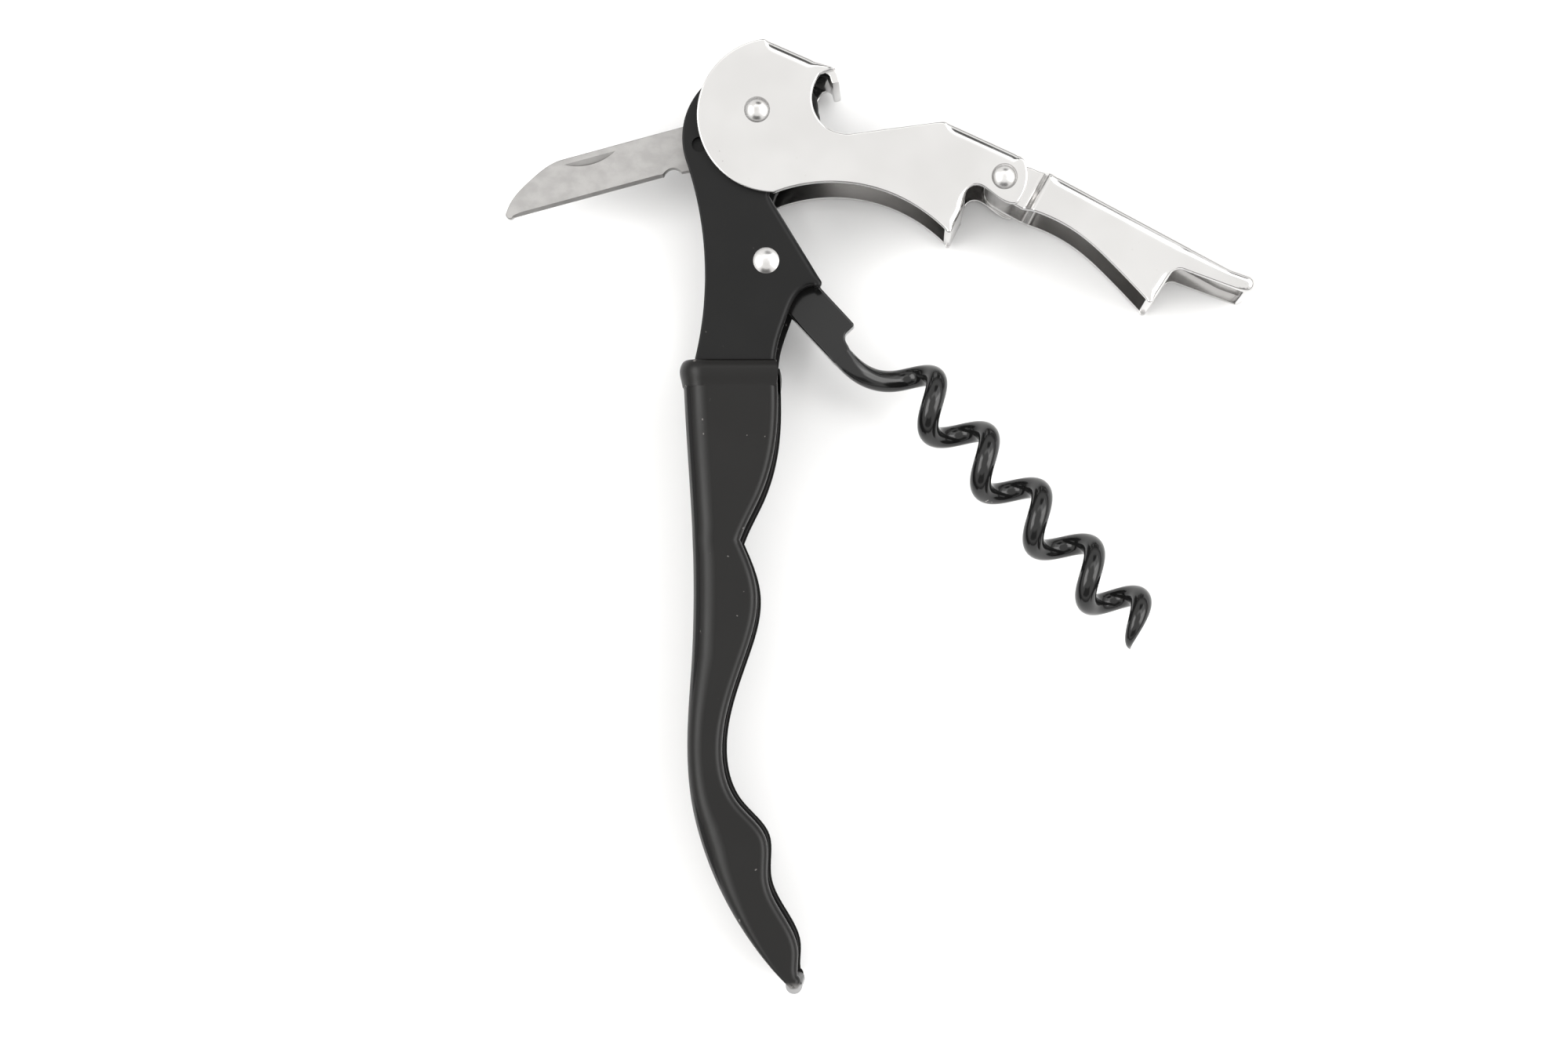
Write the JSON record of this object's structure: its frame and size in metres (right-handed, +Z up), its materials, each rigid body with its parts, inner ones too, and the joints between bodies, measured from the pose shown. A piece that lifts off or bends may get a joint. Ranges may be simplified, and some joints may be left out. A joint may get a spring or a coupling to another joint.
{
  "type": "waiters corkscrew",
  "caption": "Folding waiters corkscrew with a two-step chromed lever, foil knife, black wire worm, black frame and finger-grip handle.",
  "frame": {"origin": "on the surface it lies on, below the middle of the whole outline in the half-open rest pose", "axes": "+Y along the handle towards the rivet head, +X from the handle towards the worm and lever, +Z up, along every rivet"},
  "size_m": [0.0985, 0.1247, 0.0155],
  "materials": {
    "frame_paint": "satin",
    "grip_plastic": "satin",
    "lever_chrome": "polished",
    "blade_steel": "tumbled",
    "worm_coating": "gloss",
    "rivet_steel": "polished",
    "bush_steel": "turned"
  },
  "bodies": {
    "handle": {"handle_frame": "frame_paint", "grip_sleeve": "grip_plastic", "worm_rivet": "rivet_steel", "knife_bush_upper": "bush_steel", "knife_bush_lower": "bush_steel", "worm_bush_upper": "bush_steel", "worm_bush_lower": "bush_steel"},
    "lever": {"main_lever": "lever_chrome", "lever_rivet": "rivet_steel", "step_rivet": "rivet_steel"},
    "step": {"step_lever": "lever_chrome", "step_spacer": "bush_steel"},
    "knife": {"knife_blade": "blade_steel"},
    "worm": {"worm": "worm_coating"}
  },
  "joints": [
    {"name": "lever_pivot", "type": "hinge", "parent": "handle", "child": "lever", "pos_m": [-0.0157, 0.053, 0.00775], "axis": [0, 0, 1], "range_deg": [-48.5, 58]},
    {"name": "step_pivot", "type": "hinge", "parent": "lever", "child": "step", "pos_m": [0.01655, 0.0443, 0.00775], "axis": [0, 0, 1], "range_deg": [-21, 0]},
    {"name": "knife_pivot", "type": "hinge", "parent": "handle", "child": "knife", "pos_m": [-0.0157, 0.053, 0.00775], "axis": [0, 0, -1], "range_deg": [-54, 38]},
    {"name": "worm_pivot", "type": "hinge", "parent": "handle", "child": "worm", "pos_m": [-0.01457, 0.0335, 0.00775], "axis": [0, 0, 1], "range_deg": [-46.2, 55.2]}
  ],
  "couplings": [
    {"joint": "worm_pivot", "follows": "lever_pivot", "ratio": 0.95}
  ]
}
